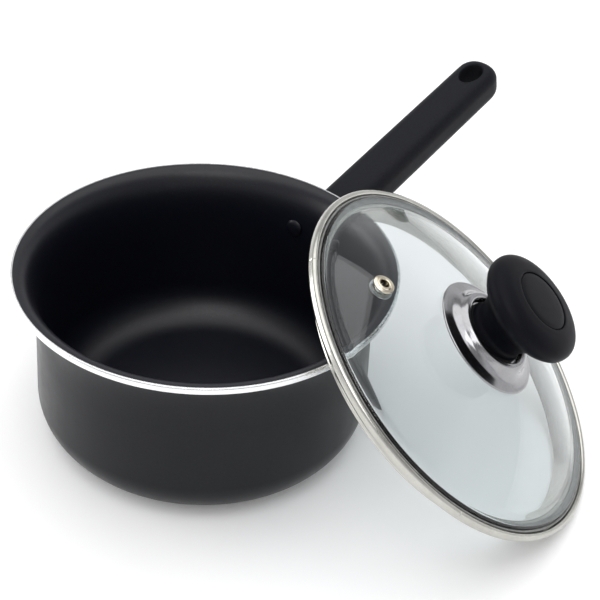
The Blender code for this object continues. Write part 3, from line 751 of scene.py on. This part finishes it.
def make_handle(materials, matrix):
    shape = bmesh.new()
    loops = []
    for inset, z in handle_levels():
        loops.append([shape.verts.new((x, y, z)) for x, y in handle_loop(inset)])
    for upper, lower in zip(loops, loops[1:]):
        for k in range(len(upper)):
            after = (k + 1) % len(upper)
            shape.faces.new((upper[k], upper[after], lower[after], lower[k]))
    bmesh.ops.remove_doubles(shape, verts=shape.verts, dist=MERGE_DISTANCE)
    bmesh.ops.holes_fill(shape, edges=shape.edges)
    bmesh.ops.recalc_face_normals(shape, faces=shape.faces)
    handle = new_piece("handle_grip", shape, [materials["phenolic"]], "pan",
                       ["handle"], matrix)
    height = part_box("pan_body")[1].z
    edge_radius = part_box("pan_body")[1].x
    heights = [ROOT_CUT_TOP - ROOT_CUT_STEP * i for i in range(ROOT_CUT_COUNT)]
    wall = [(0.0, heights[0])]
    wall += [(outer_wall_radius(z, height, edge_radius) + HANDLE_WALL_CLEARANCE, z) for z in heights]
    wall.append((0.0, heights[-1]))
    length, half_width, half_height = HANDLE_SOCKET
    socket = block((length + SOCKET_RUN_IN, 2.0 * half_width, 2.0 * half_height),
                   ((length - SOCKET_RUN_IN) / 2.0, 0.0, 0.0))
    at_screw = matrix @ Matrix.Translation((HANDLE_SCREW_X, 0.0, 0.0))
    at_hole = matrix @ Matrix.Translation((HANGING_HOLE_X, 0.0, 0.0))
    tools = [cutter(lathe([wall]), Matrix.Identity(4)), cutter(socket, matrix)]
    tools += [cutter(rod(*bore), at_screw) for bore in HANDLE_BORES]
    tools.append(cutter(hole_cutter_shape(), at_hole))
    cut(handle, tools)


def cross_recess(radius, depth):
    """A cross-shaped recess, as two bars."""
    bars = []
    for size in ((2.0 * radius, RECESS_BAR_WIDTH, depth), (RECESS_BAR_WIDTH, 2.0 * radius, depth)):
        bars.append(block(size, (0.0, 0.0, 0.0)))
    return bars


def make_screw(name, node, top, head_top, head_radius, material, body, matrix):
    """A pan-head screw whose head is at its lower end."""
    shank = SCREW_SHANK_RADIUS
    head_side = head_top - SCREW_HEAD_SIDE
    head = [(shank, head_top), (head_radius, head_top), (head_radius, head_side)]
    head += arc((0.0, head_side), (head_radius, SCREW_HEAD_DOME), 0, -90, 12)[1:]
    threads = []
    first_thread = top - 0.0006
    count = int(ceil((first_thread - head_top - 0.001) / THREAD_PITCH))
    for i in range(count):
        z = first_thread - i * THREAD_PITCH
        threads += [(shank, z), (shank, z - 0.15 * THREAD_PITCH),
                    (shank * THREAD_ROOT_SHARE, z - 0.5 * THREAD_PITCH)]
    profile = [(0.0, top), (shank * 0.7, top)] + threads + [(shank, head_top + 0.0006)] + head
    shape = lathe([profile], SMALL_RING_STEPS)
    screw = new_piece(name, shape, [material], body, [node], matrix)
    at_head = matrix @ Matrix.Translation((0.0, 0.0, head_top - RECESS_MIDDLE))
    bars = cross_recess(head_radius * RECESS_RADIUS_SHARE, RECESS_DEPTH)
    cut(screw, [cutter(bar, at_head) for bar in bars])


def make_ring(name, node, corners, material, body, matrix):
    """A washer, gasket or bush with softened edges, from (r, z, fillet) corners."""
    outline = rounded(corners, closed=True)
    shape = lathe([outline], SMALL_RING_STEPS, closed=True)
    new_piece(name, shape, [material], body, [node], matrix)


def square_ring(inner, outer, bottom, top, soft=0.00015):
    return [(inner, top, soft), (outer, top, soft), (outer, bottom, soft), (inner, bottom, soft)]


def make_handle_fasteners(materials, matrix):
    at_screw = matrix @ Matrix.Translation((HANDLE_SCREW_X, 0.0, 0.0))
    make_screw("handle_screw_fine", "handle_screw", HANDLE_SCREW_TOP, HANDLE_SCREW_SEAT,
               HANDLE_SCREW_HEAD_RADIUS, materials["steel"], "pan", at_screw)
    make_ring("handle_washer_fine", "handle_washer", square_ring(*HANDLE_WASHER), materials["steel"],
              "pan", at_screw)
    make_ring("handle_insert_fine", "handle_insert", square_ring(*HANDLE_INSERT), materials["brass"],
              "pan", at_screw)


# ---------------------------------------------------------------- lid

def glass_top(r):
    sphere = dome_radius()
    return GLASS_CROWN - sphere + sqrt(sphere ** 2 - min(r, GLASS_FLAT_RADIUS) ** 2)


def make_glass(materials, lid, vent):
    radii = [GLASS_HOLE_RADIUS + (GLASS_FLAT_RADIUS - GLASS_HOLE_RADIUS) * i / 36.0 for i in range(37)]
    edge_bottom = GLASS_EDGE_TOP - GLASS_THICKNESS + 0.0002
    edge = (GLASS_EDGE_TOP - edge_bottom) / 2.0
    profile = [(r, glass_top(r)) for r in radii]
    profile += arc((GLASS_RADIUS - edge, edge_bottom + edge), (edge, edge), 90, -90, 17)
    profile += [(r, glass_top(r) - GLASS_THICKNESS) for r in reversed(radii)]
    glass = new_piece("glass_dome", lathe([profile], closed=True), [materials["glass"]], "lid",
                      ["lid_glass"], lid)
    cut(glass, [cutter(rod(VENT_HOLE_RADIUS, -0.008, 0.004), vent)])


def make_band(materials, lid):
    """The rolled steel band. Two butt joints show as fine nicks across the bead."""
    radius = max((vertex.co - lid.translation).length for vertex in
                 frame["nodes"]["lid_rim"].data.vertices)
    bead = radius - BEAD_WIDTH / 2.0
    section = arc((bead, BEAD_UPPER_MIDDLE), (BEAD_WIDTH / 2.0, BEAD_TOP - BEAD_UPPER_MIDDLE), 180, 0, 20)
    section += arc((bead, BEAD_LOWER_MIDDLE), (BEAD_WIDTH / 2.0, BEAD_LOWER_MIDDLE - WEB_BOTTOM),
                   0, -90, 12)
    inner_bottom = SKIRT_RADIUS - SKIRT_THICKNESS
    hem_top = -SKIRT_DEPTH + SKIRT_HEM
    lower = rounded([
        (bead - 0.0004, WEB_BOTTOM, 0.0),
        (SKIRT_TOP_RADIUS, WEB_BOTTOM, 0.0012),
        (SKIRT_RADIUS + 0.0001, hem_top, 0.0006),
        (SKIRT_RADIUS + 0.0002, -SKIRT_DEPTH, 0.00045),
        (inner_bottom - 0.0002, -SKIRT_DEPTH, 0.00045),
        (inner_bottom, hem_top, 0.0006),
        (SKIRT_TOP_RADIUS - SKIRT_THICKNESS, WEB_TOP, 0.0014),
        (radius - BEAD_WIDTH, WEB_TOP, 0.0),
    ])
    angles = [2.0 * pi * k / RING_STEPS for k in range(RING_STEPS)]
    for joint in BAND_JOINTS:
        angles += [(joint + NICK_ANGLE * share) % (2.0 * pi) for share in (-1.0, -0.5, 0.5, 1.0)]
    angles = sorted(set(angles))

    def shift(angle, r, z):
        for joint in BAND_JOINTS:
            away = abs((angle - joint + pi) % (2.0 * pi) - pi)
            if away < NICK_ANGLE * 0.7 and r > radius - BEAD_WIDTH:
                inward = NICK_INWARD * (r - bead) / BEAD_WIDTH
                return r - inward, z - NICK_DOWN * (1.0 if z > 0.0 else -1.0)
        return r, z

    shape = lathe([section + lower], closed=True, angles=angles, shift=shift)
    new_piece("steel_band", shape, [materials["band"]], "lid", ["lid_rim"], lid)
    outside = radius - BEAD_WIDTH - GAP
    inside = GLASS_RADIUS + GAP
    floor = WEB_TOP + GAP
    ledge = SKIRT_TOP_RADIUS + SEAL_LEDGE_INSET
    seal = rounded([
        (inside, SEAL_TOP, 0.0002),
        (outside, SEAL_TOP, 0.0002),
        (outside, floor, 0.0002),
        (ledge, floor, 0.0001),
        (ledge, floor + SEAL_LEDGE_THICKNESS, 0.0001),
        (inside, floor + SEAL_LEDGE_THICKNESS, 0.0),
    ], closed=True)
    new_piece("band_seal", lathe([seal], closed=True), [materials["seal"]], "lid",
              ["lid_seal"], lid)


def make_vent(materials, vent):
    below = -GLASS_THICKNESS - GAP
    barrel = VENT_HOLE_RADIUS - GAP
    profile = rounded([
        (0.0022, 0.0008, 0.0004),
        (0.0022, 0.0017, 0.0004),
        (0.0033, 0.0017, 0.0005),
        (0.0034, 0.0011, 0.0004),
        (0.0050, 0.0010, 0.0004),
        (0.0050, GAP, 0.0002),
        (barrel, GAP, 0.0001),
        (barrel, below - 0.0009, 0.0003),
        (0.0042, below - 0.0010, 0.0003),
        (0.0041, below - 0.0017, 0.0004),
        (0.0022, below - 0.0013, 0.0006),
    ], closed=True)
    new_piece("vent_eyelet_fine", lathe([profile], SMALL_RING_STEPS, closed=True), [materials["nickel"]],
              "lid", ["vent_eyelet"], vent)
    washer = square_ring(VENT_HOLE_RADIUS, VENT_WASHER_RADIUS, below - VENT_WASHER_THICKNESS, below)
    make_ring("vent_washer_fine", "vent_washer", washer, materials["steel"], "lid", vent)


def make_knob_base(materials, lid):
    rim = arc((0.0281, 0.01945), (0.0006, 0.00055), 90, -90, 9)
    profile = [(DISH_BORE_RADIUS, DISH_FLOOR)] + flowing(DISH_UPPER) + rim[1:-1] + flowing(DISH_LOWER)
    profile.append((DISH_BORE_RADIUS, DISH_FLOOR - DISH_THICKNESS))
    new_piece("knob_dish", lathe([profile], closed=True), [materials["mirror"]], "lid",
              ["knob_base"], lid)


def make_knob(materials, lid):
    cap_seat = CAP_TOP - CAP_SEAT_DEPTH
    groove = CAP_RADIUS + 0.0004
    top = rounded([(0.0, cap_seat, 0.0), (groove, cap_seat, 0.0), (groove, 0.0530, 0.0004),
                   (0.0165, 0.0529, 0.0)])[:-1]
    side = flowing(KNOB_SIDE)
    foot = rounded([KNOB_SIDE[-1] + (0.0,), (0.0148, 0.0246, 0.0004), (KNOB_FOOT_RADIUS, 0.0245, 0.0003),
                    (KNOB_FOOT_RADIUS, DISH_FLOOR + GAP, 0.0006),
                    (DISH_BORE_RADIUS, DISH_FLOOR + GAP, 0.0003),
                    (DISH_BORE_RADIUS, KNOB_BORE_TOP, 0.0003), (0.0, KNOB_BORE_TOP, 0.0)])
    new_piece("knob_head", lathe([top + side + foot]), [materials["soft_touch"]], "lid",
              ["knob"], lid)
    cap_bottom = CAP_TOP - CAP_THICKNESS
    cap = [(0.0, CAP_TOP)] + flowing([(0.0040, CAP_TOP), (0.0080, CAP_TOP - 0.0001),
                                      (0.0118, CAP_TOP - 0.0003), (0.0136, CAP_TOP - 0.0006)])
    cap += rounded([(0.0136, CAP_TOP - 0.0006, 0.0), (CAP_RADIUS, CAP_TOP - 0.0008, 0.0003),
                    (CAP_RADIUS, cap_bottom, 0.0), (0.0, cap_bottom, 0.0)])
    new_piece("knob_cap_disc", lathe([cap]), [materials["cap"]], "lid", ["knob_cap"], lid)


def make_knob_fasteners(materials, lid):
    under_glass = GLASS_CROWN - GLASS_THICKNESS - 2.0 * GAP
    seal_bottom = under_glass - KNOB_SEAL_THICKNESS
    washer_bottom = seal_bottom - GAP - KNOB_WASHER_THICKNESS
    head_top = washer_bottom - GAP
    make_ring("base_gasket", "knob_base_gasket",
              square_ring(0.0046, 0.0130, GLASS_CROWN + GAP, DISH_FLOOR - DISH_THICKNESS - GAP),
              materials["silicone"], "lid", lid)
    make_ring("under_seal", "knob_seal", square_ring(0.0030, 0.0080, seal_bottom, under_glass, 0.0003),
              materials["silicone"], "lid", lid)
    make_ring("under_washer", "knob_washer",
              square_ring(0.0026, 0.0074, washer_bottom, washer_bottom + KNOB_WASHER_THICKNESS, 0.0002),
              materials["steel"], "lid", lid)
    make_ring("knob_insert_fine", "knob_insert", square_ring(0.0023, 0.0042, DISH_FLOOR + 0.0012, 0.0358),
              materials["brass"], "lid", lid)
    make_screw("knob_screw_fine", "knob_screw", KNOB_SCREW_TOP, head_top, KNOB_SCREW_HEAD_RADIUS,
               materials["steel"], "lid", lid)


# ---------------------------------------------------------------- camera, floor and light

def add_camera():
    data = bpy.data.cameras.new("camera")
    data.lens = CAMERA_LENS
    data.sensor_width = 36.0
    data.clip_start = 0.01
    camera = bpy.data.objects.new("camera", data)
    forward = Vector((cos(CAMERA_AZIMUTH) * cos(CAMERA_PITCH), sin(CAMERA_AZIMUTH) * cos(CAMERA_PITCH),
                      -sin(CAMERA_PITCH)))
    level = Vector((sin(CAMERA_AZIMUTH), -cos(CAMERA_AZIMUTH), 0.0))
    right = level * cos(CAMERA_ROLL) + level.cross(forward) * sin(CAMERA_ROLL)
    camera.matrix_world = frame_matrix(CAMERA_PLACE, right, -forward)
    bpy.context.scene.collection.objects.link(camera)
    bpy.context.scene.camera = camera


def add_softbox(name, place, width, height, power):
    data = bpy.data.lights.new(name, "AREA")
    data.shape = "RECTANGLE"
    data.size = width
    data.size_y = height
    data.energy = power
    light = bpy.data.objects.new(name, data)
    light.location = place
    light.rotation_euler = (Vector(LIGHT_TARGET) - Vector(place)).to_track_quat("-Z", "Y").to_euler()
    bpy.context.scene.collection.objects.link(light)


def add_floor():
    shape = bmesh.new()
    bmesh.ops.create_grid(shape, x_segments=8, y_segments=8, size=FLOOR_REACH)
    mesh = bpy.data.meshes.new("floor")
    shape.to_mesh(mesh)
    shape.free()
    floor = bpy.data.objects.new("floor", mesh)
    floor.location.z = cad_bounds[0][2] - FLOOR_DROP
    bpy.context.scene.collection.objects.link(floor)
    floor.data.materials.append(floor_material())


def add_world():
    """A studio whose walls are pale low down, dim at middle height and paler again overhead."""
    world = bpy.data.worlds.new("studio")
    world.use_nodes = True
    bpy.context.scene.world = world
    nodes = world.node_tree.nodes
    links = world.node_tree.links
    position = nodes.new("ShaderNodeTexCoord")
    split = nodes.new("ShaderNodeSeparateXYZ")
    links.new(position.outputs["Generated"], split.inputs[0])
    ramp = nodes.new("ShaderNodeValToRGB")
    while len(ramp.color_ramp.elements) < len(WALL_GREYS):
        ramp.color_ramp.elements.new(0.5)
    for element, (height, grey) in zip(ramp.color_ramp.elements, WALL_GREYS):
        element.position = height
        element.color = (grey, grey, grey * WALL_BLUE, 1.0)
    links.new(split.outputs[2], ramp.inputs[0])
    links.new(ramp.outputs[0], nodes["Background"].inputs["Color"])


def add_lights():
    for softbox in SOFTBOXES:
        add_softbox(*softbox)


# ---------------------------------------------------------------- the object

def main():
    materials = make_materials()
    make_pan(materials)
    make_rivets(materials)
    handle = handle_matrix()
    make_handle(materials, handle)
    make_handle_fasteners(materials, handle)
    bracket = frame["nodes"]["handle_bracket"]
    for slot in bracket.material_slots:
        slot.material = materials["steel"]

    lid = lid_matrix()
    vent = vent_matrix(lid)
    make_glass(materials, lid, vent)
    make_band(materials, lid)
    make_vent(materials, vent)
    make_knob_base(materials, lid)
    make_knob(materials, lid)
    make_knob_fasteners(materials, lid)

    bpy.context.scene.view_settings.view_transform = "Standard"
    add_camera()
    add_floor()
    add_world()
    add_lights()


main()
